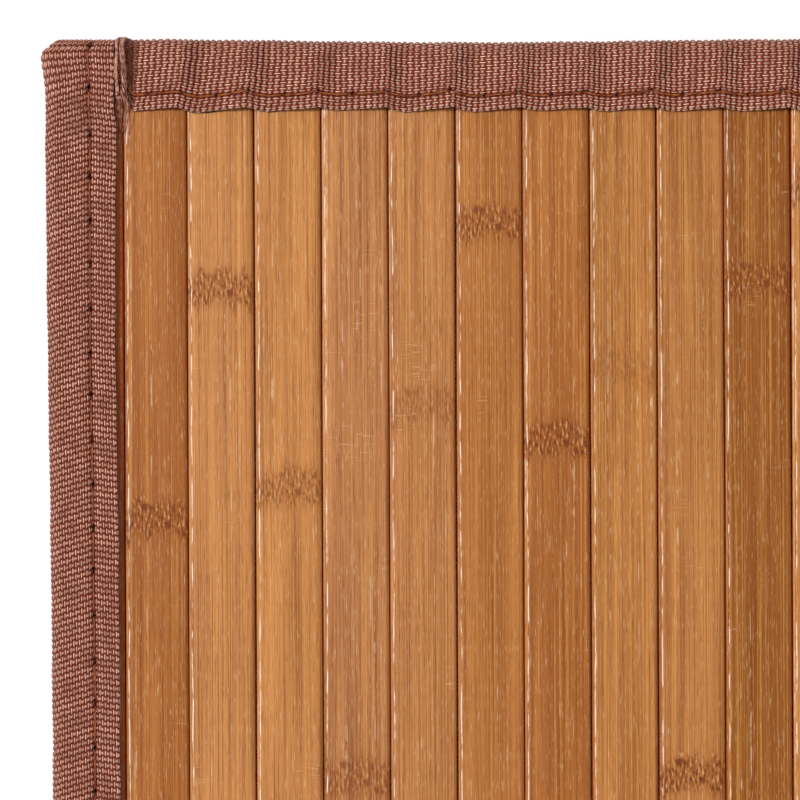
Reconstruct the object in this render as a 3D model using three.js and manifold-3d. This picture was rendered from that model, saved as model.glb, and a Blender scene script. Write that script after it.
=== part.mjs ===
// A bamboo mat: flat slats laid side by side, with a woven tape folded over all four edges.
// Millimetres, +Z up. The origin is the middle of the underside. +X runs across the slats and
// +Y along them.

import * as THREE from "three";
import { mergeVertices } from "three/addons/utils/BufferGeometryUtils.js";
import Module from "manifold-3d";

const wasm = await Module();
wasm.setup();

// The whole mat
const MAT_LENGTH = 500; // over the side bindings, at the bulge of their corners
const MAT_WIDTH = 400; // over the end bindings, at their rolled ends
const PLAY = 0.3; // clear space between pieces that touch
const LEAN = 0.0045; // how far the slats and side bindings lean from square, mm for each mm

// Slats
const SLAT_COUNT = 41;
const SLAT_GAP = 0.35;
const SLAT_THICKNESS = 3.0;
const OUTER_SLAT_STEP = 12.3; // the slat inside each side binding, with its gap
const SECOND_SLAT_STEP = 11.4; // the narrow slat beside it
const LEFT_EASE = 0.4; // how far in the upper left edge is rounded
const LEFT_DROP = 0.25; // how far down the rounding reaches
const RIGHT_EASE = 1.0; // the upper right edge is rounder
const RIGHT_DROP = 0.45;
const UNDER_EASE = 0.3;

// Binding tape
const TAPE = 1.0; // thickness of the woven tape
const FOLD_HEIGHT = 6.0; // a folded binding, from the floor to its top
const SIDE_WIDTH = 12.7; // how far a side binding reaches in over the slats
const SIDE_SEAM = 8.15; // its seam, from the outer edge
const END_WIDTH = 12.1;
const END_SEAM = 9.8;
const SEAM_DIP = 0.45; // how far the thread pulls the tape down
const LIP_DROP = 0.35; // the free edge lies a little lower than the fold
const FREE_EDGE = 0.9; // height of the free edge's own face

// Side bindings along their length
const SIDE_WANDER = 0.4; // the outer edge swings this much to each side
const SIDE_WANDER_PITCH = 240;
const SIDE_WANDER_PEAK = 190;
const CORNER_CUT = 2.2; // the tucked corner is cut across by this much
const CORNER_BULGE = 0.8; // beside the cut the tape stands out
const CORNER_REACH = 12; // how far from its end the tape is doubled
const CORNER_RISE = 0.5;
const CORNER_NARROW = 0.7; // beside the end binding the tape is this much narrower
const SIDE_STATION = 12; // about this far between sections

// End bindings along their length
const END_WANDER = 0.27;
const END_WANDER_PITCH = 124;
const PUCKER = 0.4; // the tape sinks this much beside each gap between slats
const SWELL = 0.25; // and swells this much over each slat
const SCALLOP = 0.8; // the free edge reaches this much further in over each slat
const ROLL_WIDTH = 2.4; // the rolled end
const ROLL_RISE = 1.2;
const ROLL_PROUD = 0.45; // how far the rolled end stands out past the fold
const ROLL_SHORT = 1.4; // how far its free edge is drawn back

const BAMBOO_TONES = [0xb97a3d, 0xa8682f, 0xc08a4c, 0xb0743c, 0xb67c4a];
const TAPE_TONE = 0x9a6353;

// Lines that the pieces are set from, on the upright mat before it leans
const sideLine = MAT_LENGTH / 2 - LEAN * (MAT_WIDTH / 2) - SIDE_WANDER - CORNER_BULGE;
const endLine = MAT_WIDTH / 2 - ROLL_PROUD - END_WANDER;
const slatFieldEdge = sideLine - TAPE - PLAY;
const slatEnd = endLine - TAPE - 2 * PLAY;
const sideTapeEnd = endLine + PLAY / 2;
const slatFloor = TAPE + PLAY;
const endTapeStart = sideLine - SIDE_WIDTH + CORNER_NARROW - PLAY;

/** X of the gap on the left of slat number index, 0 being the left edge of the first slat. */
function gapPlace(index) {
  const fromEdge = Math.min(index, SLAT_COUNT - index);
  const steps = [0, OUTER_SLAT_STEP, OUTER_SLAT_STEP + SECOND_SLAT_STEP];
  const inner = slatFieldEdge - steps[2];
  const side = index * 2 < SLAT_COUNT ? -1 : 1;
  if (fromEdge < 2) return side * (slatFieldEdge - steps[fromEdge]);
  return -inner + ((index - 2) * 2 * inner) / (SLAT_COUNT - 4);
}

/** Half the width of gap number index: the gaps differ a little from slat to slat. */
function halfGap(index) {
  return SLAT_GAP / 2 + 0.03 * Math.sin(index * 2.4);
}

/** Move every vertex of a geometry by a function that gives its new [x, y, z]. */
function reshape(geometry, place) {
  const points = geometry.attributes.position;
  for (let i = 0; i < points.count; i += 1) {
    points.setXYZ(i, ...place(points.getX(i), points.getY(i), points.getZ(i)));
  }
  return geometry;
}

/** Lean the finished piece: X shifts with Y. */
function lean(geometry) {
  return reshape(geometry, (x, y, z) => [x - LEAN * y, y, z]);
}

/** Turn a three.js geometry into a solid whose shared vertices are merged. */
function toSolid(geometry) {
  const bare = geometry.clone();
  bare.deleteAttribute("normal");
  bare.deleteAttribute("uv");
  const merged = mergeVertices(bare, 1e-4);
  return new wasm.Manifold(
    new wasm.Mesh({
      numProp: 3,
      vertProperties: new Float32Array(merged.attributes.position.array),
      triVerts: new Uint32Array(merged.index.array),
    }),
  );
}

/** Turn a solid back into a three.js geometry. */
function toGeometry(solid) {
  const mesh = solid.getMesh();
  const geometry = new THREE.BufferGeometry();
  geometry.setAttribute("position", new THREE.BufferAttribute(mesh.vertProperties, 3));
  geometry.setIndex(new THREE.BufferAttribute(mesh.triVerts, 1));
  return geometry;
}

/** Turn every face over, after a move that mirrored the shape. */
function turnFaces(geometry) {
  const corners = geometry.index.array;
  for (let i = 0; i < corners.length; i += 3) {
    [corners[i], corners[i + 2]] = [corners[i + 2], corners[i]];
  }
  return geometry;
}

/** Extrude an outline of [x, y] points through whole steps along Z. */
function extrude(outline, steps) {
  const shape = new THREE.Shape(outline.map(([x, y]) => new THREE.Vector2(x, y)));
  return new THREE.ExtrudeGeometry(shape, { depth: steps, steps, bevelEnabled: false });
}

/** One slat: a flat strip between two gaps, with its upper long edges rounded. */
function slat(index) {
  const left = gapPlace(index) + (index === 0 ? 0 : halfGap(index));
  const right = gapPlace(index + 1) - (index === SLAT_COUNT - 1 ? 0 : halfGap(index + 1));
  const top = slatFloor + SLAT_THICKNESS;
  const outline = [
    [left, slatFloor + UNDER_EASE],
    [left + UNDER_EASE, slatFloor],
    [right - UNDER_EASE, slatFloor],
    [right, slatFloor + UNDER_EASE],
    [right, top - RIGHT_DROP],
    [right - RIGHT_EASE * 0.3, top - RIGHT_DROP * 0.25],
    [right - RIGHT_EASE, top],
    [left + LEFT_EASE, top],
    [left + LEFT_EASE * 0.3, top - LEFT_DROP * 0.25],
    [left, top - LEFT_DROP],
  ];
  const strip = extrude(outline, 1);
  return lean(reshape(strip, (x, z, step) => [x, slatEnd * (1 - 2 * step), z]));
}

/**
 * The outline of a folded binding, filled: reach is measured in from the outer edge, height up
 * from the floor. The outer edge is round, and the top dips along the seam.
 */
function bindingOutline(width, seam) {
  const middle = FOLD_HEIGHT / 2;
  const free = FOLD_HEIGHT - LIP_DROP;
  return [
    [0.4, middle * 0.4],
    [0, middle],
    [0.4, middle * 1.6],
    [2.0, FOLD_HEIGHT - 0.15],
    [seam * 0.55, FOLD_HEIGHT],
    [seam, FOLD_HEIGHT - SEAM_DIP],
    [width - 0.4, free],
    [width, free - FREE_EDGE / 2],
    [width, 0],
    [2.0, 0],
  ];
}

/**
 * A folded binding: its outline carried through a row of sections, less the pocket that the
 * slats lie in. A section gives along, its place on the edge, out and free, the shifts of its
 * outer and free edge, both measured inward, and rise, how far its top is lifted.
 */
function binding(width, seam, sections, pocketFrom, pocketTo) {
  const bar = reshape(extrude(bindingOutline(width, seam), sections.length - 1), (reach, height, step) => {
    const section = sections[Math.round(step)];
    const share = reach / width;
    const shift = section.out * (1 - share) + section.free * share;
    const upper = Math.max(0, height / FOLD_HEIGHT - 0.5) * 2;
    const dip = Math.abs(reach - seam) < 0.1 ? 0.5 : 1;
    return [section.along, reach + shift, height + section.rise * upper * dip];
  });
  const roof = slatFloor + SLAT_THICKNESS + PLAY;
  const pocketOutline = [
    [TAPE + 0.4, TAPE],
    [TAPE, TAPE + 0.4],
    [TAPE, roof - 0.4],
    [TAPE + 0.4, roof],
    [width * 2, roof],
    [width * 2, TAPE],
  ];
  const pocket = reshape(extrude(pocketOutline, 1), (reach, height, step) => [
    pocketFrom + (pocketTo - pocketFrom) * step,
    reach,
    height,
  ]);
  return toGeometry(toSolid(bar).subtract(toSolid(pocket)));
}

/** A side binding, at the left edge of the mat. */
function sideBinding() {
  const wander = (y) => -SIDE_WANDER * Math.cos((2 * Math.PI * (y - SIDE_WANDER_PEAK)) / SIDE_WANDER_PITCH);
  const corner = (y) => {
    const fromEnd = sideTapeEnd - Math.abs(y);
    const doubled = fromEnd < CORNER_REACH;
    let out = -SIDE_WANDER;
    if (fromEnd < CORNER_CUT * 3) out = -SIDE_WANDER - CORNER_BULGE * 0.4;
    if (fromEnd <= CORNER_CUT) out = -SIDE_WANDER - CORNER_BULGE;
    if (fromEnd < 0.1) out = CORNER_CUT - CORNER_BULGE;
    return {
      along: y,
      out: doubled ? out : wander(Math.abs(y)),
      free: doubled ? -CORNER_NARROW : 0,
      rise: doubled ? CORNER_RISE : 0,
    };
  };
  const inner = sideTapeEnd - CORNER_REACH - 3;
  const spans = Math.round((2 * inner) / SIDE_STATION);
  const places = Array.from({ length: spans + 1 }, (_, i) => -inner + (2 * inner * i) / spans);
  const cornerPlaces = [CORNER_REACH - 0.5, CORNER_CUT * 2.9, CORNER_CUT, 0];
  const ends = cornerPlaces.map((fromEnd) => sideTapeEnd - fromEnd);
  const all = [...ends.map((y) => -y).reverse(), ...places, ...ends];
  const tape = binding(SIDE_WIDTH, SIDE_SEAM, all.map(corner), -slatEnd - PLAY, slatEnd + PLAY);
  return lean(turnFaces(reshape(tape, (along, reach, height) => [reach - sideLine, along, height])));
}

/** An end binding, over the ends of the slats at the top edge of the mat. */
function endBinding() {
  const first = gapPlace(1);
  const last = gapPlace(SLAT_COUNT - 1);
  const wander = (x) => -END_WANDER * Math.cos((2 * Math.PI * (x - first)) / END_WANDER_PITCH);
  const section = (x, rise, reach) => ({ along: x, out: wander(x), free: reach, rise });
  const sections = [];
  for (let index = 1; index < SLAT_COUNT - 1; index += 1) {
    const gap = gapPlace(index);
    const step = gapPlace(index + 1) - gap;
    const start = index === 1 ? 0.2 : 0.06;
    sections.push(section(gap + step * start, -PUCKER, -SCALLOP * 0.1));
    sections.push(section(gap + step * 0.3, 0, SCALLOP));
    sections.push(section(gap + step * 0.62, SWELL, SCALLOP * 0.45));
  }
  const roll = (x, rise, proud) => ({ along: x, out: wander(x) - proud, free: -ROLL_SHORT, rise });
  const rolled = (edge, inward) => [
    roll(edge, ROLL_RISE * 0.4, ROLL_PROUD * 0.4),
    roll(edge + inward * ROLL_WIDTH * 0.45, ROLL_RISE, ROLL_PROUD),
    roll(edge + inward * ROLL_WIDTH, 0, 0),
  ];
  const start = rolled(-endTapeStart, 1);
  const finish = rolled(endTapeStart, -1).reverse();
  const lastPucker = section(last - 0.5, -PUCKER, 0);
  const all = [...start, ...sections, lastPucker, ...finish];
  const tape = binding(END_WIDTH, END_SEAM, all, -MAT_LENGTH, MAT_LENGTH);
  return lean(turnFaces(reshape(tape, (along, reach, height) => [along, endLine - reach, height])));
}

/** A named mesh, turned half round when the piece belongs on the opposite edge. */
function piece(name, geometry, color, roughness, turned = false) {
  geometry.computeVertexNormals();
  const material = new THREE.MeshStandardMaterial({ color, roughness, metalness: 0 });
  const mesh = new THREE.Mesh(geometry, material);
  mesh.name = name;
  if (turned) mesh.rotation.z = Math.PI;
  return mesh;
}

const mat = new THREE.Group();
for (let index = 0; index < SLAT_COUNT; index += 1) {
  const name = `slat_${String(index + 1).padStart(2, "0")}`;
  mat.add(piece(name, slat(index), BAMBOO_TONES[index % BAMBOO_TONES.length], 0.4));
}
mat.add(piece("binding_left", sideBinding(), TAPE_TONE, 0.9));
mat.add(piece("binding_right", sideBinding(), TAPE_TONE, 0.9, true));
mat.add(piece("binding_top", endBinding(), TAPE_TONE, 0.9));
mat.add(piece("binding_bottom", endBinding(), TAPE_TONE, 0.9, true));

export default mat;
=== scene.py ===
# A bamboo mat lying flat: lacquered slats side by side, with a woven tape folded over all four
# edges and sewn through. Sizes are in millimetres until a mesh is made, which is in metres.

import math

import bpy
import numpy as np
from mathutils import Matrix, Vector


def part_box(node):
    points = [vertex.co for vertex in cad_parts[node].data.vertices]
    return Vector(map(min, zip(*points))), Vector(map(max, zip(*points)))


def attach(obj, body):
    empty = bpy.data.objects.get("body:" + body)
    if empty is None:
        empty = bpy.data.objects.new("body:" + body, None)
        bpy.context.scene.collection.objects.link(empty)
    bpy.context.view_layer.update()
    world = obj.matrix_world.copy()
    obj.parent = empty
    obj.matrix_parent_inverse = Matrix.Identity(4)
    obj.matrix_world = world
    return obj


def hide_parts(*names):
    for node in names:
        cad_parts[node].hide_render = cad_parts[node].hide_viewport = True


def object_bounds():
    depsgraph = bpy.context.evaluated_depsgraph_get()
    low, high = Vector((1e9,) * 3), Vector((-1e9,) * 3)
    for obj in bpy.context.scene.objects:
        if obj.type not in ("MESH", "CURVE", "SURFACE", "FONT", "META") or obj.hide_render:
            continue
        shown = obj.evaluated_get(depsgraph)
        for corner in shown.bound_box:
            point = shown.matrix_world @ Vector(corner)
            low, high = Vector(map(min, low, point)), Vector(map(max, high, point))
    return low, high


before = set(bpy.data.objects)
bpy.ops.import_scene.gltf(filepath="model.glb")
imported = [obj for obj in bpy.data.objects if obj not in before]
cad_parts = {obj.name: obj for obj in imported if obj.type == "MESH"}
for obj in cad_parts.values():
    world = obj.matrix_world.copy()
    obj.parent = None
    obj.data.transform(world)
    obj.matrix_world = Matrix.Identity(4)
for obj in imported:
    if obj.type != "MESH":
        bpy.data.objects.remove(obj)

CAD_LOW, CAD_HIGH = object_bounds()
MM = 0.001

# Sizes that the solids share
PLAY = 0.3
LEAN = 0.0045  # the slats and side bindings lean this much from square
TAPE = 1.0
FOLD_HEIGHT = 6.0
FOLD_REACH = 2.2  # how far in the round of the fold goes
SIDE_WIDTH = 12.7
SIDE_SEAM = 8.15  # from the outer edge
END_WIDTH = 12.1
END_SEAM = 9.8
SEAM_DIP = 0.45
LIP_DROP = 0.35
SIDE_WANDER = 0.4
SIDE_WANDER_PITCH = 240.0
SIDE_WANDER_PEAK = 190.0
CORNER_CUT = 2.2
CORNER_BULGE = 0.8
CORNER_REACH = 12.0
CORNER_RISE = 0.5
CORNER_NARROW = 0.7
END_WANDER = 0.27
END_WANDER_PITCH = 124.0
SCALLOP = 0.8
ROLL_WIDTH = 2.4
ROLL_RISE = 1.2
ROLL_PROUD = 0.45
ROLL_SHORT = 1.4

# The weave: thick picks cross the tape one after another, and fine threads run along it
PICK = 1.077  # between picks
FLOAT_PITCH = 1.05  # between the places where one pick rises
PICK_ROWS = (0.0, 0.31, 0.69)  # mesh rows in a pick: the valley and both sides of its crest
FLOAT_COLUMNS = 4
WEAVE_DEPTH = 0.34
OUTER_SLANT = math.tan(math.radians(16))  # the picks fall away to both sides of a side seam
INNER_SLANT = math.tan(math.radians(8))

# The sewing
SIDE_THREAD = 0.3  # diameter
END_THREAD = 0.36
SIDE_STITCH = 7.87
END_STITCH = 5.93
FIRST_HOLE = 190.5  # Y of the first needle hole in the photograph
SIDE_HOLE = 1.5  # length along the seam
END_HOLE = 0.8
HOLE_DEPTH = 0.8
HOLE_HALF_WIDTH = 0.25  # of the dent that the thread makes at a hole, across the seam
SEAM_SHIFT = 0.35  # an end seam lies this much further out than in the solids
SEAM_PULL = 0.42  # and is pulled outward by up to about this much more before a gap
STITCH_STEPS = 14

# Loose yarns and fine hairs at each rolled end
ROLL_YARNS = 20
ROLL_HAIRS = 18

# How an end binding rises and falls over one slat: how far from one gap to the next, and how high
# as a share of PUCKER, which is deeper than in the solids
PUCKER = 0.8
PUCKER_SHAPE = (
    (0.0, 0.85),
    (0.05, 0.55),
    (0.12, -0.05),
    (0.2, -0.7),
    (0.27, -1.0),
    (0.35, -0.95),
    (0.6, -0.2),
    (0.82, 0.6),
    (0.95, 1.0),
    (1.0, 0.85),
)

# What the photograph shows of the slats, by number from the left: the Y of a knot, then how
# strong the knot is and how light the slat is, from 0 to 1, and how rosy, or below 0 how rusty.
# Slat 1 is seen only in the shadow of the side binding: its lightness and its strong rust are
# painted light, red light reflected by the tape into that shade
SHOWN_SLATS = {
    1: (60.0, 0.3, 0.60, -0.9),
    2: (113.2, 1.0, 0.40, -0.2),
    3: (154.8, 0.9, 0.93, 0.5),
    4: (119.1, 0.7, 0.83, 0.2),
    5: (66.9, 0.7, 0.64, 1.0),
    6: (133.8, 0.4, 0.71, 0.6),
    7: (166.7, 0.9, 0.50, -0.12),
    8: (127.9, 1.0, 0.35, -0.2),
    9: (140.5, 0.3, 0.60, 0.0),
    10: (67.4, 1.0, 0.60, 0.2),
    11: (156.6, 0.8, 0.00, -0.05),
    12: (173.7, 0.8, 0.50, 0.3),
}
KNOT_STEP = 150.0  # between the knots of one slat

rng = np.random.default_rng(11)


def box_mm(node):
    """The lowest and highest corner of a solid, in millimetres."""
    low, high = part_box(node)
    return np.array(low) / MM, np.array(high) / MM


SLATS = sorted(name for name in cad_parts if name.startswith("slat_"))
HALF_LENGTH = CAD_HIGH.x / MM
HALF_WIDTH = CAD_HIGH.y / MM
SIDE_LINE = HALF_LENGTH - LEAN * HALF_WIDTH - SIDE_WANDER - CORNER_BULGE
END_LINE = HALF_WIDTH - ROLL_PROUD - END_WANDER
SLAT_END = box_mm(SLATS[0])[1][1]
SIDE_TAPE_END = END_LINE + PLAY / 2
END_ROUND = 1.2  # how far a side binding's closed end bulges
END_PICKS = 3  # in the turn of a closed end
END_TAPE_START = SIDE_LINE - SIDE_WIDTH + CORNER_NARROW - PLAY
SLAT_FLOOR, SLAT_TOP = box_mm(SLATS[0])[0][2], box_mm(SLATS[0])[1][2]
ROOF = SLAT_TOP + PLAY
CLOSER = 0.09  # how much further than its solid each slat reaches on either side
SLAT_LEFTS = np.array([box_mm(name)[0][0] + LEAN * SLAT_END - CLOSER for name in SLATS])
SLAT_RIGHTS = np.array([box_mm(name)[1][0] - LEAN * SLAT_END + CLOSER for name in SLATS])
GAPS = np.concatenate([SLAT_LEFTS[:1], (SLAT_LEFTS[1:] + SLAT_RIGHTS[:-1]) / 2, SLAT_RIGHTS[-1:]])


def ease(x, low, high):
    """0 below low and 1 above high, with a smooth S between."""
    t = np.clip((x - low) / (high - low), 0, 1)
    return t * t * (3 - 2 * t)


def hump(x, middle, half_width):
    """A bell curve of height 1."""
    return np.exp(-(((x - middle) / half_width) ** 2))


def wobble(x, pitch):
    """A smooth uneven line between about -1 and 1: four sines with lengths up to pitch."""
    total = 0
    for share in (1.0, 0.61, 0.37, 0.23):
        total = total + share**0.7 * np.sin(2 * math.pi * x / (pitch * share) + rng.uniform(0, 6.3))
    return total / 2


def lean(points, turned):
    """Shift X with Y, and turn the piece half round for the opposite edge of the mat."""
    leaned = points.copy()
    leaned[..., 0] -= LEAN * points[..., 1]
    if turned:
        leaned[..., :2] *= -1
    return leaned


def ring_faces(rows, columns):
    """The quads between neighbouring rings of points, numbered ring after ring."""
    ring, place = np.meshgrid(np.arange(rows - 1), np.arange(columns), indexing="ij")
    here = ring * columns + place
    beside = ring * columns + (place + 1) % columns
    return np.stack([here, beside, beside + columns, here + columns], -1).reshape(-1, 4)


def loft(name, rings, caps, material, attributes=()):
    """
    A closed piece, or many joined, from an array of strand, ring, place in the ring and XYZ.
    caps lists the flat ends as lists of places: each closes the first ring and the last. The
    faces are turned over if they enclose a negative volume.
    """
    count, rows, columns = rings.shape[:3]
    points = rings.reshape(-1, 3)
    sides = ring_faces(rows, columns)
    a, b, c, d = (points[sides[:, i]] for i in range(4))
    inside_out = (a * np.cross(b, c)).sum() + (a * np.cross(c, d)).sum() < 0
    ends = [np.array(cap)[::-1] for cap in caps] + [np.array(cap) + (rows - 1) * columns for cap in caps]
    one = [*sides.tolist(), *(end.tolist() for end in ends)]
    if inside_out:
        one = [face[::-1] for face in one]
    step = rows * columns
    faces = [[corner + strand * step for corner in face] for strand in range(count) for face in one]
    mesh = bpy.data.meshes.new(name)
    mesh.from_pydata(points * MM, [], faces)
    for label, values in dict(attributes).items():
        layer = mesh.attributes.new(label, "FLOAT_VECTOR", "POINT")
        layer.data.foreach_set("vector", np.ascontiguousarray(values, np.float32).ravel())
    mesh.polygons.foreach_set("use_smooth", np.ones(len(mesh.polygons), bool))
    mesh.update()
    mesh.materials.append(material)
    piece = bpy.data.objects.new(name, mesh)
    bpy.context.scene.collection.objects.link(piece)
    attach(piece, "root")
    return piece


def tubes(name, paths, radius, sides, material):
    """
    Round threads along paths, an array of thread, station and XYZ. A ring's two axes are the
    path's direction crossed with up, and that crossed with the direction.
    """
    way = np.gradient(paths, axis=1)
    way /= np.linalg.norm(way, axis=-1, keepdims=True)
    beside = np.cross(way, [0.01, 0.02, 1.0])
    beside /= np.linalg.norm(beside, axis=-1, keepdims=True)
    above = np.cross(beside, way)
    turn = 2 * math.pi * np.arange(sides) / sides
    spokes = beside[:, :, None] * np.cos(turn)[:, None] + above[:, :, None] * np.sin(turn)[:, None]
    rings = paths[:, :, None] + np.broadcast_to(radius, paths.shape[:2])[..., None, None] * spokes
    piece = loft(name, rings, [np.arange(sides)], material)
    return piece


# Slats

def slat_profile(left, right):
    """
    The outline of a slat, from the lower left corner round over the top. The long edges are
    quarter ellipses, the left one sharper, the top is slightly crowned, and the sides bulge
    towards the next slat below the edges.
    """
    crown, bulge = 0.05, 0.04
    left_in, left_drop = 0.4, 0.25
    right_in, right_drop = 1.0, 0.45
    turn = np.linspace(0, math.pi / 2, 6)
    flat = np.linspace(-1, 1, 7)[1:-1]
    middle = (left + left_in + right - right_in) / 2
    half = (right - right_in - left - left_in) / 2
    x = np.concatenate([
        [left + PLAY, left - bulge],
        left + left_in * (1 - np.cos(turn)),
        middle + half * flat,
        right - right_in * (1 - np.cos(turn[::-1])),
        [right + bulge, right - PLAY],
    ])
    z = np.concatenate([
        [SLAT_FLOOR, (SLAT_FLOOR + SLAT_TOP) / 2],
        SLAT_TOP - crown + left_drop * (np.sin(turn) - 1),
        SLAT_TOP - crown * flat**2,
        SLAT_TOP - crown + right_drop * (np.sin(turn[::-1]) - 1),
        [(SLAT_FLOOR + SLAT_TOP) / 2, SLAT_FLOOR],
    ])
    return x, z


def make_slat(number, material):
    """One bamboo slat: its outline carried along Y, a little uneven, and swollen at its knots."""
    name = SLATS[number - 1]
    left, right = SLAT_LEFTS[number - 1], SLAT_RIGHTS[number - 1]
    drawn = (rng.uniform(-120, 190), rng.uniform(0.2, 1.0), rng.uniform(0.0, 1.0), rng.uniform(0, 0.8))
    knot, strength, light, rosy = SHOWN_SLATS.get(number, drawn)
    step = KNOT_STEP * rng.uniform(0.93, 1.12)
    knots = knot + step * np.arange(-4, 5)
    swell_rows = (knots[:, None] + np.array([-3.5, -1.5, 0, 1.5, 3.5])).ravel()
    swell_rows = swell_rows[np.abs(swell_rows) < SLAT_END - 1]
    along = np.sort(np.concatenate([np.linspace(-SLAT_END, SLAT_END, 33), swell_rows]))
    x, z = slat_profile(left, right)
    middle, half = (left + right) / 2, (right - left) / 2
    near = (along - knot) / step
    bulge = hump((near - np.round(near)) * step, 0, 2.2)
    width = 1 - (0.03 + 0.03 * wobble(along, 90)) / half
    top = (z > SLAT_TOP - 1)[None, :]
    rings = np.empty((1, len(along), len(x), 3))
    rings[..., 0] = middle + (x - middle)[None, :] * width[:, None]
    rings[..., 1] = along[:, None]
    rings[..., 2] = z[None, :] + top * (0.05 * strength * bulge + 0.02 * wobble(along, 60))[:, None]
    strip = np.stack([rings[..., 0] - left, rings[..., 1], np.full_like(rings[..., 2], number * 3.7)], -1)
    knot_facts = np.empty_like(rings)
    knot_facts[..., 0] = near[:, None]
    knot_facts[..., 1] = step
    knot_facts[..., 2] = strength
    look = np.empty_like(rings)
    look[..., 0] = light
    look[..., 1] = rosy
    look[..., 2] = (rings[..., 0] - middle) / half
    facts = {"strip": strip, "knot": knot_facts, "look": look}
    piece = loft(f"bamboo_{name}", lean(rings, False), [np.arange(len(x))], material, facts)
    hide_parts(name)


# Bindings

def fold_path(width, seam):
    """
    The way round a folded tape: from its free edge on top, over the fold, to its free edge
    underneath, and back along the inside. Gives the reach in from the outer edge, the height
    and the distance walked across the tape, then how many points come before the underside
    and how many are on the outside. The fold is half an ellipse.
    """
    flat = width - FOLD_REACH
    half_height = FOLD_HEIGHT / 2
    quarter = math.pi / 2 * math.hypot(FOLD_REACH, half_height) / math.sqrt(2)
    steps = round((flat + quarter) / FLOAT_PITCH * FLOAT_COLUMNS)
    walked = np.arange(steps + 1) * FLOAT_PITCH / FLOAT_COLUMNS
    turn = math.pi / 2 * (1 - np.clip((walked - flat) / quarter, 0, None))
    reach = np.where(walked > flat, FOLD_REACH * (1 - np.cos(turn)), width - walked)
    under_turn = np.linspace(turn[-1], -math.pi / 2, 5)[1:]
    under_flat = np.array([seam * 0.6, seam - 0.8, seam - 0.35, seam, seam + 0.35, seam + 0.8, width])
    under_reach = np.concatenate([FOLD_REACH * (1 - np.cos(under_turn)), under_flat])
    under_turn = np.concatenate([under_turn, np.full(7, -math.pi / 2)])
    inner_reach = np.array([width, width / 2, FOLD_REACH, 1.3, 1.05, 1.3, FOLD_REACH, width / 2, width])
    inner_height = np.array([TAPE, TAPE, TAPE, TAPE + 0.5, (ROOF + TAPE) / 2, ROOF - 0.5, ROOF, ROOF, ROOF])
    outer_height = half_height * (1 + np.sin(np.concatenate([turn, under_turn])))
    outer_height[len(turn):] += 0.5 * hump(under_reach, seam, 0.5) * (under_reach > FOLD_REACH)
    outer_reach = np.concatenate([reach, under_reach])
    steps_out = np.hypot(np.diff(outer_reach), np.diff(outer_height))
    steps_in = np.hypot(np.diff(inner_reach, prepend=width), np.diff(inner_height, prepend=TAPE))
    walked = np.concatenate([walked, walked[-1] + np.cumsum(steps_out[steps:])])
    walked = np.concatenate([walked, walked[-1] - np.cumsum(steps_in)])
    heights = np.concatenate([outer_height, inner_height])
    return np.concatenate([outer_reach, inner_reach]), heights, walked, steps + 1, len(outer_reach)


def weave_height(floats, picks):
    """
    How high the cloth stands, 0 to 1: each pick is a rounded ridge across the tape that dips
    where a lengthwise thread crosses it, and every other pick dips half a float further on.
    """
    pick = np.round(picks)
    ridge = 1 - np.abs(2 * (picks - pick)) ** 3
    phase = floats + 0.5 * pick
    phase = np.abs(phase - np.round(phase))
    return ridge * (1 - 0.55 * ease(phase, 0.2, 0.5))


def surface_normals(points):
    """The outward direction at each point of a grid, from its neighbours both ways."""
    normal = np.cross(np.gradient(points, axis=1), np.gradient(points, axis=0))
    return normal / np.maximum(np.linalg.norm(normal, axis=-1, keepdims=True), 1e-9)


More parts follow.
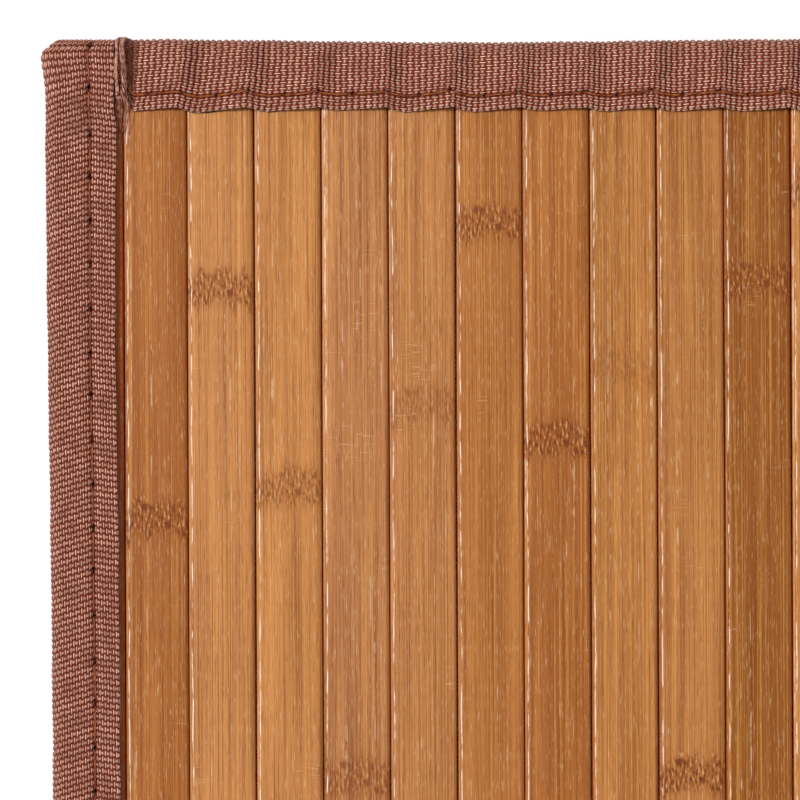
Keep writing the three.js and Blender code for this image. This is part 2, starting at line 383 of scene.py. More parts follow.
class Binding:
    """
    A folded tape as a grid of rings, centred on 0 along its length. shape(along, walked,
    reach) gives the inward shifts of the outer and the free edge, the lift of the top, the
    shift along the tape and how frayed the cloth is. seam_at gives the reach of the seam,
    holes the place of each needle hole along it, and hole_half half a hole's length. Where
    end_picks isn't 0 the ends are closed: the last picks turn down and in, so that top and
    underside meet half way up. Points hold along, reach and height. facts are the attributes:
    the place in the weave and how strongly the crests of its floats are painted as highlights,
    the place on the tape and how frayed it is, and the place from the nearest needle hole and
    how open the hole is, which sets how dark the hole's painted shade is.
    """

    def __init__(self, length, width, seam, shape, seam_at, holes, hole_half, pocket_end, end_picks):
        reach, height, walked, self.on_top, self.outside = fold_path(width, seam)
        straight = length - (2 * END_ROUND if end_picks else 0)
        picks = round(straight / PICK / 2) * 2
        rows = np.arange(-end_picks, picks + end_picks)[:, None] + np.array(PICK_ROWS)
        rows = np.append(rows.ravel(), picks + end_picks)
        past = rows - np.clip(rows, 0, picks)
        turn = math.pi / 2 * past / max(end_picks, 1)
        along = (np.clip(rows, 0, picks) / picks - 0.5) * straight + END_ROUND * np.sin(turn)
        self.row_along, self.column_reach = along, reach
        off_hole = (along - holes[np.abs(along[:, None] - holes).argmin(1)])[:, None]
        off_seam = reach - seam_at(along)[:, None]
        dent = HOLE_DEPTH * hump(off_seam, 0, HOLE_HALF_WIDTH) * hump(off_hole, 0, hole_half)
        along, across = np.broadcast_arrays(along[:, None], reach)
        out, free, lift, slide, fray = shape(along, np.broadcast_to(walked, along.shape), across)
        share = across / width
        seam_line = -SEAM_DIP * hump(across, seam, 0.9) - LIP_DROP * ease(across, seam, width)
        upper = np.clip(height / FOLD_HEIGHT - 0.5, 0, 1) * 2
        points = np.empty((*along.shape, 3))
        points[..., 0] = along + slide
        points[..., 1] = across + out * (1 - share) + free * share
        points[..., 2] = height + upper * (seam_line + lift)
        inside = slice(self.outside, None)
        points[:, inside, 0] = (rows / picks - 0.5)[:, None] * 2 * pocket_end
        if end_picks:
            points[:, inside, 0] = np.clip(points[:, inside, 0], -pocket_end, pocket_end)
            points[:, inside, 0] += 0.02 * past[:, None]
        points[:, inside, 2] = height[inside]
        squeeze = np.cos(turn * 0.98)[:, None]
        middle = np.where(np.arange(len(reach)) < self.outside, FOLD_HEIGHT / 2, (ROOF + TAPE) / 2)
        points[..., 2] = middle + (points[..., 2] - middle) * squeeze
        self.smooth = points.copy()
        floats = walked / FLOAT_PITCH
        pick = rows - 0.5
        face = slice(0, self.outside)
        raised = (weave_height(floats[face], pick[:, None]) - 0.6) * WEAVE_DEPTH
        raised = raised * (np.arange(self.outside) < self.on_top) * (1 - 0.7 * fray[:, face])
        raised = (raised - dent[:, face]) * np.clip(squeeze * 3, 0, 1)
        points[:, face] += surface_normals(self.smooth[:, face]) * raised[..., None]
        lowest = FOLD_HEIGHT / 2 + (ROOF + 0.1 - FOLD_HEIGHT / 2) * squeeze
        over_slats = np.flatnonzero(reach[: self.on_top] > FOLD_REACH)
        points[:, over_slats, 2] = np.maximum(points[:, over_slats, 2], lowest)
        self.rings = points
        # How strongly the crests of the floats are painted as highlights, which differs between end and side
        # bindings as the light falls along or across their picks, and how dark the needle holes' painted
        # shade is
        highlight_strength, openness = (0.85, 0.75) if end_picks else (0.75, 0.5)
        self.facts = {
            "weave": np.stack(np.broadcast_arrays(floats, pick[:, None], highlight_strength), -1),
            "finish": np.stack(np.broadcast_arrays(along, walked, fray), -1),
            "needle": np.stack(np.broadcast_arrays(off_hole / hole_half, off_seam, openness), -1),
        }
        self.flat_width = walked[self.outside - 1]

    def surface(self, along, reach, under):
        """Points of the smooth cloth at these places, between its rows and columns."""
        columns = np.arange(self.on_top, self.outside) if under else np.arange(self.on_top)[::-1]
        row = np.interp(along, self.row_along, np.arange(len(self.row_along)))
        column = np.interp(reach, self.column_reach[columns], columns)
        low_row, low_column = np.floor(row - 1e-6).astype(int), np.floor(column - 1e-6).astype(int)
        down, over = (row - low_row)[..., None], (column - low_column)[..., None]
        first = self.smooth[low_row, low_column] * (1 - over) + self.smooth[low_row, low_column + 1] * over
        low_row = low_row + 1
        second = self.smooth[low_row, low_column] * (1 - over) + self.smooth[low_row, low_column + 1] * over
        return first * (1 - down) + second * down


def side_holes():
    """The Y of each needle hole along a side seam, a little unevenly spaced."""
    count = int((FIRST_HOLE + SIDE_TAPE_END) / SIDE_STITCH)
    places = FIRST_HOLE - SIDE_STITCH * np.arange(-1, count)
    places = places + 0.35 * wobble(places, 31)
    return np.sort(np.clip(places, 1.2 - SIDE_TAPE_END, SIDE_TAPE_END - 1.2))


def side_seam_at(along):
    """The reach of a side seam, which is nearly straight."""
    return SIDE_SEAM + 0.06 * np.sin(2 * math.pi * along / 37)


def side_shape(along, walked, reach):
    """How a side binding departs from a straight fold. See Binding."""
    from_end = SIDE_TAPE_END - np.abs(along)
    swing = np.cos(2 * math.pi * (np.abs(along) - SIDE_WANDER_PEAK) / SIDE_WANDER_PITCH)
    out = -SIDE_WANDER * swing - CORNER_BULGE * hump(from_end, CORNER_CUT, 3.2)
    out = out + 1.3 * np.clip(CORNER_CUT - from_end, 0, None) + 0.08 * wobble(along, 23)
    free = (PLAY - CORNER_NARROW) * (1 - ease(from_end, CORNER_REACH, CORNER_REACH + 3))
    free = free + 0.08 * wobble(along, 23) - 0.1 - 0.5 * hump(np.abs(along), 150, 34)
    lift = CORNER_RISE * (1 - ease(from_end, CORNER_REACH - 3, CORNER_REACH + 1))
    lift = lift + 0.08 * wobble(along, 23) + 0.08 * wobble(along + 3 * reach, 41)
    flap = hump(reach, SIDE_WIDTH - 1.2, 0.7) * hump(from_end, CORNER_REACH + 1, 2.5)
    lift = lift + 0.35 * flap
    seam_walk = SIDE_WIDTH - SIDE_SEAM
    outer = np.clip(walked - seam_walk, 0, SIDE_WIDTH)
    inner = np.clip(seam_walk - walked, 0, None)
    slide = -(OUTER_SLANT * outer + INNER_SLANT * inner) * ease(from_end, 0, 10)
    slide = slide + 0.09 * wobble(along + 5 * walked, 13) * ease(from_end, 0, 4)
    fray = 0.25 * hump(reach, 6.5, 3.0) * hump(from_end, 13, 4)
    return out, free, lift, slide, fray


def end_holes():
    """The X of each needle hole along an end seam, about two to a slat."""
    count = int(2 * (END_TAPE_START - ROLL_WIDTH) / END_STITCH)
    places = -END_TAPE_START + ROLL_WIDTH - 1 + END_STITCH * np.arange(count + 1)
    return places + 0.25 * wobble(places, 29)


def slat_phase(x):
    """Which gap lies left of x, and how far x is from it to the next, 0 to 1."""
    place = np.interp(x, GAPS, np.arange(len(GAPS)))
    return np.floor(place).astype(int), place - np.floor(place)


def end_seam_at(along):
    """The reach of an end seam: nearly straight, but pulled outward before most gaps."""
    index, phase = slat_phase(along)
    pulled = np.interp(phase, [0, 0.07, 0.72, 0.9, 0.95, 1], [0.65, 0, 0, 0.9, 1, 0.65])
    strength = 0.6 + 0.4 * np.sin(2.3 * np.round(index + phase))
    waver = 0.07 * np.sin(2 * math.pi * along / 57)
    return END_SEAM - SEAM_SHIFT - SEAM_PULL * pulled * strength + waver


def end_shape(along, walked, reach):
    """
    How an end binding departs from a straight fold: it falls steeply just right of each gap,
    rises slowly over the slat, and is rolled up at both its ends. See Binding.
    """
    strengths = rng.uniform(0.7, 1.3, len(GAPS) + 1)
    index, phase = slat_phase(along)
    blend = ease(phase, 0.85, 1.0)
    strength = strengths[index] * (1 - blend) + strengths[index + 1] * blend
    rise = np.interp(phase, *np.array(PUCKER_SHAPE).T)
    from_end = END_TAPE_START - np.abs(along)
    body = ease(from_end, ROLL_WIDTH, ROLL_WIDTH + 2)
    across = 1 - 0.6 * hump(reach, END_SEAM, 1.6)
    lift = (PUCKER * strength * rise - 0.1) * across * body
    lift = lift + 0.07 * wobble(along, 17) + 0.06 * wobble(along + 2 * reach, 11)
    ridges = 0.7 * hump(from_end, 0.5, 0.4) + hump(from_end, 1.6, 0.5)
    lift = lift + ROLL_RISE * ridges * (0.75 + 0.25 * ease(-reach, -END_SEAM, -4))
    lift = lift - 0.8 * hump(from_end, ROLL_WIDTH + 1.0, 1.2) - 0.4 * (1 - ease(from_end, -0.1, 0.4)) ** 2
    rolled = 1 - ease(from_end, ROLL_WIDTH - 0.6, ROLL_WIDTH + 0.6)
    out = -END_WANDER * np.cos(2 * math.pi * (along - GAPS[1]) / END_WANDER_PITCH)
    out = out - ROLL_PROUD * rolled * ease(from_end, -0.4, 0.8) + 0.07 * wobble(along, 17)
    tooth = np.interp(phase, [0, 0.12, 0.3, 1], [0, 0.55, 1, 0])
    free = (SCALLOP * strength * tooth + 0.07 * wobble(along, 17)) * body - ROLL_SHORT * rolled
    slide = -0.22 * np.sin(2 * math.pi * (phase - 0.12)) * across * body
    sideways = 0.3 + hump(from_end, 16, 14)
    slide = slide + (0.12 * wobble(along + 4 * reach, 15) - sideways * (reach / END_SEAM) ** 1.5) * body
    fray = np.maximum(rolled, 0.85 * (1 - ease(from_end, ROLL_WIDTH + 0.8, ROLL_WIDTH + 2.4)))
    return out, free, lift, slide, fray


def seam_path(binding, holes, hole_half, seam_at, thickness, under):
    """
    One seam's thread from hole to hole: it lies half sunk in the cloth, at the reach that
    seam_at gives, and goes down into the cloth at each hole.
    """
    station = np.linspace(0, len(holes) - 1, (len(holes) - 1) * STITCH_STEPS + 1)
    along = np.interp(station, np.arange(len(holes)), holes)
    path = binding.surface(along, seam_at(along), under)
    off_hole = np.abs(along[:, None] - holes).min(1)
    depth = 1.3 * hump(off_hole, 0, 1.1 * hole_half)
    if under:
        path[:, 2] = np.maximum(path[:, 2], thickness / 2 + 0.05) + depth
    else:
        path[:, 2] += 0.05 + thickness / 4 - depth
    return path


def roll_yarns(binding):
    """
    Paths of the loose yarns of both rolled ends. They run across the tape in two loosely
    twisted bundles side by side, the outer one thinner.
    """
    share = np.linspace(0, 1, 30)
    bundle = (np.arange(ROLL_YARNS) % 2)[:, None]
    middle = 0.3 + 1.2 * bundle + 0.1 * np.sin(2 * math.pi * (1.3 * share + 0.4 * bundle))
    thick = 0.26 + 0.12 * bundle
    turn = 2 * math.pi * (1.5 * share + rng.uniform(0, 1, (2, ROLL_YARNS, 1)))
    from_end = middle + 0.5 * (share - 0.4) * bundle + thick * np.sin(turn)
    reach = 0.2 + (10.7 + rng.uniform(-0.5, 0.8, (2, ROLL_YARNS, 1))) * share
    along = (END_TAPE_START - from_end) * np.array([-1, 1])[:, None, None]
    paths = binding.surface(np.clip(along, 0.05 - END_TAPE_START, END_TAPE_START - 0.05), reach, False)
    paths[..., 0] = along
    paths[..., 2] += 0.05 + thick * (0.45 + 0.45 * np.cos(turn))
    return paths.reshape(-1, len(share), 3)


def loose_hairs():
    """Paths of the thin fibres that hang from the foot of both rolls and lie on the slats."""
    share = np.linspace(0, 1, 14)
    foot = rng.uniform(0.6, 2.8, (2, ROLL_HAIRS, 1))
    length = rng.uniform(1.5, 8.5, (2, ROLL_HAIRS, 1))
    sideways = rng.uniform(-0.25, 0.06, (2, ROLL_HAIRS, 1)) * length
    bow = rng.uniform(-0.8, 0.8, (2, ROLL_HAIRS, 1))
    from_end = np.maximum(foot + sideways * share + bow * np.sin(math.pi * share), 0.1)
    reach = END_WIDTH - ROLL_SHORT - 0.6 + (length + 1.2) * share
    fallen = ease(reach, END_WIDTH - ROLL_SHORT, END_WIDTH + 1.5)
    height = SLAT_TOP + 0.1 + (FOLD_HEIGHT - SLAT_TOP) * (1 - fallen)
    along = (END_TAPE_START - from_end) * np.array([-1, 1])[:, None, None]
    return np.stack(np.broadcast_arrays(along, reach, height), -1).reshape(-1, len(share), 3)


def make_binding(node, side, turned, tape, thread, fibre):
    """
    One folded tape with its two seams, above and below: a side binding with closed, tucked
    ends, or an end binding with rolled, frayed ends.
    """
    if side:
        length = 2 * SIDE_TAPE_END
        seam_at, holes, hole_half, thickness = side_seam_at, side_holes(), SIDE_HOLE / 2, SIDE_THREAD
        cloth = (length, SIDE_WIDTH, SIDE_SEAM, side_shape)
        ends = (SLAT_END + PLAY, END_PICKS)
    else:
        length = 2 * END_TAPE_START
        seam_at, holes, hole_half, thickness = end_seam_at, end_holes(), END_HOLE / 2, END_THREAD
        cloth = (length, END_WIDTH, END_SEAM, end_shape)
        ends = (END_TAPE_START, 0)
    binding = Binding(*cloth, seam_at, holes, hole_half, *ends)

    def place(points):
        """Along, reach and height to X, Y and Z."""
        if side:
            return lean(points[..., [1, 0, 2]] - [SIDE_LINE, 0, 0], turned)
        return lean(points * [1, -1, 1] + [0, END_LINE, 0], turned)

    outside, columns = binding.outside, len(binding.column_reach)
    outer, inner = np.arange(outside), np.arange(outside, columns)
    caps = [outer, inner, [outside - 1, outside, columns - 1, 0]] if side else [np.arange(columns)]
    piece = loft(f"tape_{node}", place(binding.rings)[None], caps, tape, binding.facts)
    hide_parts(node)
    for name, under in (("over", False), ("under", True)):
        path = place(seam_path(binding, holes, hole_half, seam_at, thickness, under))
        tubes(f"seam_{name}_{node}", path[None], thickness / 2, 6, thread)
    if not side:
        tubes(f"yarns_{node}", place(roll_yarns(binding)), 0.08, 5, fibre)
        tubes(f"hairs_{node}", place(loose_hairs()), 0.045, 3, fibre)


# Materials

def linear(colour):
    """A colour written as a hex sRGB string, as linear values with alpha 1."""
    parts = [int(colour[i : i + 2], 16) / 255 for i in (1, 3, 5)]
    return [c / 12.92 if c <= 0.04045 else ((c + 0.055) / 1.055) ** 2.4 for c in parts] + [1.0]


def add(tree, kind, inputs=(), out=0, **settings):
    """Add a shader node with its settings, set or link its inputs, and return one output if any."""
    node = tree.nodes.new("ShaderNode" + kind)
    for setting, value in settings.items():
        setattr(node, setting, value)
    for socket, value in dict(inputs).items():
        if isinstance(value, bpy.types.NodeSocket):
            tree.links.new(value, node.inputs[socket])
        else:
            node.inputs[socket].default_value = value
    return node.outputs[out] if len(node.outputs) else None


def new_material(name):
    """An empty node material and its tree."""
    material = bpy.data.materials.new(name)
    material.use_nodes = True
    material.node_tree.nodes.clear()
    return material, material.node_tree


def paint(tree, ground, layers):
    """Colours laid over the ground in turn, each as thickly as its mask says, 0 to 1."""
    for mask, colour in layers:
        ground = add(tree, "Mix", {0: mask, 6: ground, 7: linear(colour)}, 2, data_type="RGBA")
    return ground


def grain(tree, strip, width, length, low, high, strength, detail=2.0):
    """
    A mask of fibres along a slat: noise whose grains are width by length in millimetres,
    rising from 0 to strength as the noise goes from low to high.
    """
    place = add(tree, "VectorMath", {0: strip, 1: (1 / width, 1 / length, 1.0)}, operation="MULTIPLY")
    noise = add(tree, "TexNoise", {"Vector": place, "Scale": 1.0, "Detail": detail})
    return add(tree, "MapRange", {0: noise, 1: low, 2: high, 4: strength}, interpolation_type="SMOOTHSTEP")


def lacquered_bamboo():
    """
    Carbonised bamboo strip, planed and lacquered. It shows fine lengthwise fibres under a thin
    satin film: long pale and dark streaks, short dark ticks, broken pale glints, which are painted
    highlights, and knots where the fibres end in a band of small dark reddish flecks.
    """
    material, tree = new_material("carbonised bamboo under satin lacquer")
    strip = add(tree, "Attribute", out="Vector", attribute_name="strip")
    knot = add(tree, "Attribute", out="Vector", attribute_name="knot")
    knot = add(tree, "SeparateXYZ", {0: knot}).node.outputs
    look = add(tree, "Attribute", out="Vector", attribute_name="look")
    look = add(tree, "SeparateXYZ", {0: look}).node.outputs
    across = add(tree, "SeparateXYZ", {0: strip})

    # The slat's own tone, uneven across and along it, then the fibres
    zones = grain(tree, strip, 4.0, 130, 0.3, 0.7, 0.34)
    tone = add(tree, "Math", {0: look[0], 1: zones}, operation="ADD")
    tone = add(tree, "Math", {0: tone, 1: 0.17}, operation="SUBTRACT", use_clamp=True)
    body = add(tree, "Mix", {0: tone, 6: linear("#854806"), 7: linear("#c27f43")}, 2, data_type="RGBA")
    rosy = add(tree, "MapRange", {0: look[1], 4: 0.3})
    # Rust: a slight rusty tone of their own on some slats; on slat 1 it is painted light, the red light that
    # the tape reflects into its shadow
    rust = add(tree, "MapRange", {0: look[1], 1: 0.0, 2: -1.0, 4: 0.9})
    body = paint(tree, body, [
        (rosy, "#b67c5c"),
        (grain(tree, strip, 0.8, 90, 0.5, 0.72, 0.24), "#cd8f48"),
        (grain(tree, strip, 0.9, 70, 0.5, 0.3, 0.26), "#7d400c"),
        (grain(tree, strip, 0.25, 70, 0.5, 0.64, 0.45), "#d9984c"),
        (grain(tree, strip, 0.22, 55, 0.5, 0.36, 0.5), "#6e3506"),
        (grain(tree, strip, 0.17, 5.0, 0.6, 0.7, 0.45, 1), "#6b3309"),
        (rust, "#a2460f"),
    ])

    # The knots: a band, bent and ragged, of small dark flecks in a darker tone
    from_knot = add(tree, "Math", {0: knot[0], 1: 0.5, 2: -0.5}, operation="WRAP")
    from_knot = add(tree, "Math", {0: from_knot, 1: knot[1]}, operation="MULTIPLY")
    arch = add(tree, "Math", {0: look[2], 1: look[2]}, operation="MULTIPLY")
    bent = add(tree, "Math", {0: arch, 1: 1.3, 2: from_knot}, operation="MULTIPLY_ADD")
    ragged = grain(tree, strip, 1.5, 9, 0.25, 0.75, 2.6)
    bent = add(tree, "Math", {0: bent, 1: ragged}, operation="ADD")
    distance = add(tree, "Math", {0: bent, 1: 1.6}, operation="SUBTRACT")
    distance = add(tree, "Math", {0: distance}, operation="ABSOLUTE")
    zigzag = add(tree, "Math", {0: across, 1: 1.7}, operation="PINGPONG")
    fleck_y = add(tree, "Math", {0: zigzag, 1: 0.2, 2: from_knot}, operation="MULTIPLY_ADD")
    fleck_place = add(tree, "CombineXYZ", {0: across, 1: fleck_y, 2: knot[0]})
    fleck_place = add(tree, "VectorMath", {0: fleck_place, 1: (2.8, 0.65, 0.5)}, operation="MULTIPLY")
    noise = add(tree, "TexNoise", {"Vector": fleck_place, "Scale": 1.0, "Detail": 1.5})
    flecks = add(tree, "MapRange", {0: noise, 1: 0.49, 2: 0.6, 4: 0.85}, interpolation_type="SMOOTHSTEP")
    sparks = add(tree, "MapRange", {0: noise, 1: 0.42, 2: 0.32, 4: 0.6}, interpolation_type="SMOOTHSTEP")
    band = add(tree, "MapRange", {0: distance, 1: 4.2, 2: 1.8}, interpolation_type="SMOOTHSTEP")
    band = add(tree, "Math", {0: band, 1: knot[2]}, operation="MULTIPLY")
    halo = add(tree, "MapRange", {0: distance, 1: 5.5, 2: 1.0, 4: 0.5}, interpolation_type="SMOOTHSTEP")
    halo = add(tree, "Math", {0: halo, 1: knot[2]}, operation="MULTIPLY")
    flecks = add(tree, "Math", {0: band, 1: flecks}, operation="MULTIPLY")
    sparks = add(tree, "Math", {0: band, 1: sparks}, operation="MULTIPLY")

    # Painted highlights of the lacquer where it stands on raised fibres: broken lines, each along
    # one fibre, short fine specks, and the longest and brightest beside the left edge. A fine cross
    # scratch is rare
    glints = grain(tree, strip, 0.3, 90, 0.62, 0.7, 1.0, 1)
    breaks = grain(tree, strip, 1.2, 3.5, 0.48, 0.64, 0.45, 5)
    glints = add(tree, "Math", {0: glints, 1: breaks}, operation="MULTIPLY")
    specks = grain(tree, strip, 0.13, 2.4, 0.6, 0.72, 0.36, 2)
    waver = add(tree, "Math", {0: grain(tree, strip, 30, 12, 0.3, 0.7, 0.03), 1: look[2]}, operation="ADD")
    edge = add(tree, "Math", {0: waver, 1: -0.878, 2: 0.016}, operation="COMPARE")
    edge_glints = grain(tree, strip, 0.4, 3.0, 0.42, 0.6, 0.9, 6)
    edge_glints = add(tree, "Math", {0: edge_glints, 1: edge}, operation="MULTIPLY")
    scratched = grain(tree, strip, 9.0, 9.0, 0.72, 0.77, 1.0, 0)
    scratches = grain(tree, strip, 3.0, 0.25, 0.68, 0.76, 0.25, 0)
    scratches = add(tree, "Math", {0: scratches, 1: scratched}, operation="MULTIPLY")
    # Painted shade: the right edge of each slat, which falls away from the light, is darkened
    shaded_far_edge = add(tree, "MapRange", {0: look[2], 1: 0.84, 2: 0.97, 4: 0.4}, interpolation_type="SMOOTHSTEP")
    # Painted light: the walls of the gaps are painted a strong red, which lifts the shade deep in each gap
    # from black to dark red
    off_middle = add(tree, "Math", {0: look[2]}, operation="ABSOLUTE")
    wall_painted_light = add(tree, "MapRange", {0: off_middle, 1: 0.985, 2: 0.998})
    body = paint(tree, body, [
        (glints, "#ecceaa"),
        (specks, "#ecc898"),
        (halo, "#8e480c"),
        (flecks, "#682c05"),
        (sparks, "#deac72"),
        (scratches, "#e8c49a"),
        (edge_glints, "#f6e2cc"),
        (shaded_far_edge, "#7a4018"),
        (wall_painted_light, "#c4481c"),
    ])

    relief = grain(tree, strip, 0.4, 18, 0.2, 0.8, 1.0, 3)
    bump = add(tree, "Bump", {"Strength": 0.5, "Distance": 0.00005, "Height": relief})
    shader = add(tree, "BsdfPrincipled", {
        "Base Color": body,
        "Roughness": 0.5,
        "IOR": 1.45,
        "Specular IOR Level": 0.2,
        "Coat Weight": 0.15,
        "Coat Roughness": 0.15,
        "Normal": bump,
        "Coat Normal": bump,
    })
    add(tree, "OutputMaterial", {"Surface": shader})
    return material


def woven_tape():
    """
    Polypropylene binding tape in a plain weave. It shows thick reddish brown picks across the
    tape, each broken into short floats, between fine lengthwise threads that cross it. The pale
    crests of the floats and much of the paleness of the threads are painted highlights, and the
    dark valleys between picks, the seam's furrow and its needle holes are painted shade.
    """
    material, tree = new_material("plain woven binding tape")
    weave = add(tree, "Attribute", out="Vector", attribute_name="weave")
    parts = add(tree, "SeparateXYZ", {0: weave}).node.outputs

    # The distance to the nearest pick and, along it, to its nearest float
    pick = add(tree, "Math", {0: parts[1]}, operation="ROUND")
    from_pick = add(tree, "Math", {0: parts[1], 1: 0.5}, operation="PINGPONG")
    phase = add(tree, "Math", {0: pick, 1: 0.5, 2: parts[0]}, operation="MULTIPLY_ADD")
    from_float = add(tree, "Math", {0: phase, 1: 0.5}, operation="PINGPONG")
    cell = add(tree, "CombineXYZ", {0: add(tree, "Math", {0: phase}, operation="ROUND"), 1: pick})
    chance = add(tree, "TexWhiteNoise", {"Vector": cell})

    # A float is a rounded bead whose crest is painted pale as a highlight; a lengthwise thread is a
    # thin pale bar between two floats, painted paler still as a highlight, which reaches down to the
    # floats of the next picks
    ridge = add(tree, "MapRange", {0: from_pick, 1: 0.5, 2: 0.08}, interpolation_type="SMOOTHSTEP")
    crown = add(tree, "MapRange", {0: from_float, 1: 0.44, 2: 0.14}, interpolation_type="SMOOTHSTEP")
    bead = add(tree, "Math", {0: ridge, 1: crown}, operation="MULTIPLY")
    yarn = add(tree, "MapRange", {0: bead, 1: 0.06, 2: 0.35}, interpolation_type="SMOOTHSTEP")
    luck = add(tree, "MapRange", {0: chance, 3: 0.5, 4: 1.0})
    crest = add(tree, "MapRange", {0: bead, 1: 0.6, 2: 1.0, 4: 0.9})
    crest = add(tree, "Math", {0: crest, 1: luck}, operation="MULTIPLY")
    crest = add(tree, "Math", {0: crest, 1: parts[2]}, operation="MULTIPLY")
    reach = add(tree, "MapRange", {0: from_pick, 1: 0.5, 2: 0.3, 3: 0.3}, interpolation_type="SMOOTHSTEP")
    bar = add(tree, "MapRange", {0: from_float, 1: 0.38, 2: 0.45}, interpolation_type="SMOOTHSTEP")
    bar = add(tree, "Math", {0: bar, 1: reach}, operation="MULTIPLY")
    # The pale bar is partly the thread's own paler colour and partly a painted highlight
    pale_bar_and_highlight = add(tree, "Math", {0: bar, 1: luck}, operation="MULTIPLY")
    uneven = add(tree, "TexNoise", {"Vector": weave, "Scale": 0.35, "Detail": 3.0})
    shade = add(tree, "MapRange", {0: uneven, 1: 0.4, 2: 0.7, 4: 0.3}, interpolation_type="SMOOTHSTEP")

    # Where the cloth is frayed or rubbed, loose fibres lie across the tape over the weave
    finish = add(tree, "Attribute", out="Vector", attribute_name="finish")
    finish_parts = add(tree, "SeparateXYZ", {0: finish}).node.outputs
    fuzz = add(tree, "VectorMath", {0: finish, 1: (4.5, 1.3, 0.0)}, operation="MULTIPLY")
    fuzz = add(tree, "TexNoise", {"Vector": fuzz, "Scale": 1.0, "Detail": 3.0, "Distortion": 0.8})
    strands = add(tree, "MapRange", {0: fuzz, 1: 0.5, 2: 0.62}, interpolation_type="SMOOTHSTEP")
    strands = add(tree, "Math", {0: strands, 1: finish_parts[2]}, operation="MULTIPLY")
    rubbed = add(tree, "Math", {0: finish_parts[2], 1: 0.75}, operation="MULTIPLY")

    # The pale loops of the free edge, and painted shade in the furrow of the seam and in its needle holes
    edge = add(tree, "MapRange", {0: finish_parts[1], 1: 0.6, 2: 0.4})
    loops = add(tree, "MapRange", {0: from_pick, 1: 0.36, 2: 0.2, 4: 0.5}, interpolation_type="SMOOTHSTEP")
    loops = add(tree, "Math", {0: loops, 1: edge}, operation="MULTIPLY")
    needle = add(tree, "Attribute", out="Vector", attribute_name="needle")
    needle_parts = add(tree, "SeparateXYZ", {0: needle}).node.outputs
    off_seam = add(tree, "Math", {0: needle_parts[1]}, operation="ABSOLUTE")
    # Painted shade: the furrow of the seam is darkened
    furrow = add(tree, "MapRange", {0: off_seam, 1: 0.5, 2: 0.2, 4: 0.7}, interpolation_type="SMOOTHSTEP")
    off_hole = add(tree, "VectorMath", {0: needle, 1: (1.0, 1 / 0.17, 0.0)}, operation="MULTIPLY")
    off_hole = add(tree, "VectorMath", {0: off_hole}, "Value", operation="LENGTH")
    # Painted shade: each needle hole is darkened nearly to black, as deeply as its openness says
    hole = add(tree, "MapRange", {0: off_hole, 1: 1.15, 2: 0.75}, interpolation_type="SMOOTHSTEP")
    hole = add(tree, "Math", {0: hole, 1: needle_parts[2]}, operation="MULTIPLY")
    # The dark ground, where there is no bead, is mostly painted shade of the deep valleys between picks
    colour = paint(tree, linear("#5c1e0e"), [
        (yarn, "#914b37"),
        (crest, "#e4a188"),
        (pale_bar_and_highlight, "#ffd2ba"),
        (shade, "#6f3a2b"),
        (rubbed, "#5e281c"),
        (strands, "#b87e68"),
        (loops, "#d8a892"),
        (furrow, "#5a2010"),
        (hole, "#240a05"),
    ])
    height = add(tree, "Math", {0: bar, 1: 0.45, 2: bead}, operation="MULTIPLY_ADD")
    gloss = add(tree, "MapRange", {0: height, 1: 0.2, 2: 0.8, 3: 0.02, 4: 0.5})
    dull = add(tree, "MapRange", {0: finish_parts[2], 3: 1.0, 4: 0.1})
    gloss = add(tree, "Math", {0: gloss, 1: dull}, operation="MULTIPLY")
    height = add(tree, "Math", {0: strands, 1: height}, operation="ADD")
    bump = add(tree, "Bump", {"Strength": 1.0, "Distance": 0.00025, "Height": height})
    shader = add(tree, "BsdfPrincipled", {
        "Base Color": colour,
        "Roughness": 0.36,
        "IOR": 1.49,
        "Specular IOR Level": gloss,
        "Normal": bump,
    })
    add(tree, "OutputMaterial", {"Surface": shader})
    return material


def loose_fibres():
    """Fibres of the same tape that have come loose: dull pinkish brown, paler in places."""
    material, tree = new_material("loose polypropylene fibres")
    place = add(tree, "TexCoord", out="Object")
    uneven = add(tree, "TexNoise", {"Vector": place, "Scale": 1300.0, "Detail": 2.0})
    uneven = add(tree, "MapRange", {0: uneven, 1: 0.35, 2: 0.65})
    shader = add(tree, "BsdfPrincipled", {
        "Base Color": paint(tree, linear("#7a3c2a"), [(uneven, "#dca48c")]),
        "Roughness": 0.45,
    })
    add(tree, "OutputMaterial", {"Surface": shader})
    return material


def sewing_thread():
    """
    Spun polyester sewing thread, dyed: a dull rust line with a slight sheen, its twist too fine
    to show.
    """
    material, tree = new_material("spun polyester sewing thread")
    place = add(tree, "TexCoord", out="Object")
    uneven = add(tree, "TexNoise", {"Vector": place, "Scale": 900.0, "Detail": 2.0})
    uneven = add(tree, "MapRange", {0: uneven, 1: 0.35, 2: 0.65})
    shader = add(tree, "BsdfPrincipled", {
        "Base Color": paint(tree, linear("#6a2a12"), [(uneven, "#a0572a")]),
        "Roughness": 0.6,
        "Specular IOR Level": 0.25,
    })
    add(tree, "OutputMaterial", {"Surface": shader})
    return material


# Stage, light and camera

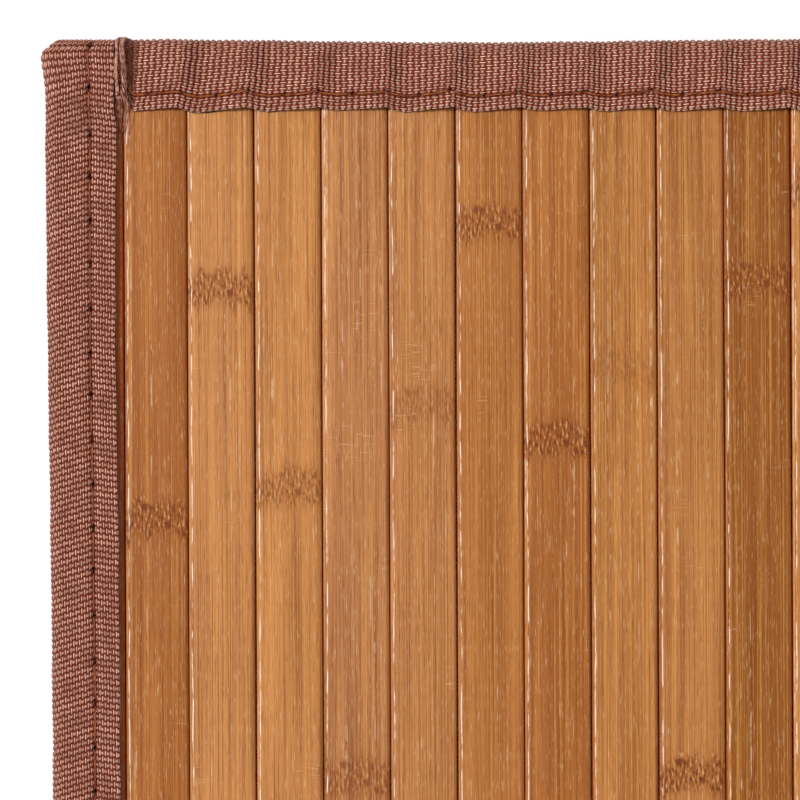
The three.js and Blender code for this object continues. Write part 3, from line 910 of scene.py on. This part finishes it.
def make_floor():
    """A plain white floor under the mat."""
    material, tree = new_material("white floor")
    shader = add(tree, "BsdfPrincipled", {"Base Color": (0.97, 0.97, 0.97, 1), "Roughness": 0.9})
    add(tree, "OutputMaterial", {"Surface": shader})
    half = 3.0
    corners = [(-half, -half, 0), (half, -half, 0), (half, half, 0), (-half, half, 0)]
    mesh = bpy.data.meshes.new("floor")
    mesh.from_pydata(corners, [], [(0, 1, 2, 3)])
    mesh.materials.append(material)
    floor = bpy.data.objects.new("floor", mesh)
    bpy.context.scene.collection.objects.link(floor)


PHOTO_SIZE = 800
PIXELS_PER_MM = 5.569
VIEW_CENTRE = (-185.4, 134.7)  # X and Y of the middle of the photograph
LENS, SENSOR = 150.0, 36.0


def make_camera():
    """A long lens straight above the corner that the photograph shows."""
    data = bpy.data.cameras.new("camera")
    data.lens, data.sensor_width = LENS, SENSOR
    data.clip_start, data.clip_end = 0.01, 20
    across = PHOTO_SIZE / PIXELS_PER_MM
    camera = bpy.data.objects.new("camera", data)
    camera.location = Vector((*VIEW_CENTRE, across * LENS / SENSOR + SLAT_TOP)) * MM
    bpy.context.scene.collection.objects.link(camera)
    bpy.context.scene.camera = camera


def light_the_scene():
    """A compact key light from the left and a little from the top, and an even white surround."""
    target = Vector((*VIEW_CENTRE, 0)) * MM
    way = Vector((-0.62, 0.22, 1.0)).normalized()
    distance = 2.5  # metres
    data = bpy.data.lights.new("key", "AREA")
    data.size, data.energy = 0.45, 54
    key = bpy.data.objects.new("key", data)
    key.location = target + distance * way
    key.rotation_mode = "QUATERNION"
    key.rotation_quaternion = way.to_track_quat("Z", "Y")
    bpy.context.scene.collection.objects.link(key)
    world = bpy.data.worlds.new("surround")
    world.use_nodes = True
    background = world.node_tree.nodes["Background"]
    background.inputs["Color"].default_value = (1, 1, 1, 1)
    background.inputs["Strength"].default_value = 0.45
    bpy.context.scene.world = world
    bpy.context.scene.view_settings.view_transform = "Standard"


make_camera()
light_the_scene()
make_floor()

bamboo = lacquered_bamboo()
tape = woven_tape()
thread = sewing_thread()
fibre = loose_fibres()
for number in range(1, len(SLATS) + 1):
    make_slat(number, bamboo)
make_binding("binding_left", True, False, tape, thread, fibre)
make_binding("binding_right", True, True, tape, thread, fibre)
make_binding("binding_top", False, False, tape, thread, fibre)
make_binding("binding_bottom", False, True, tape, thread, fibre)
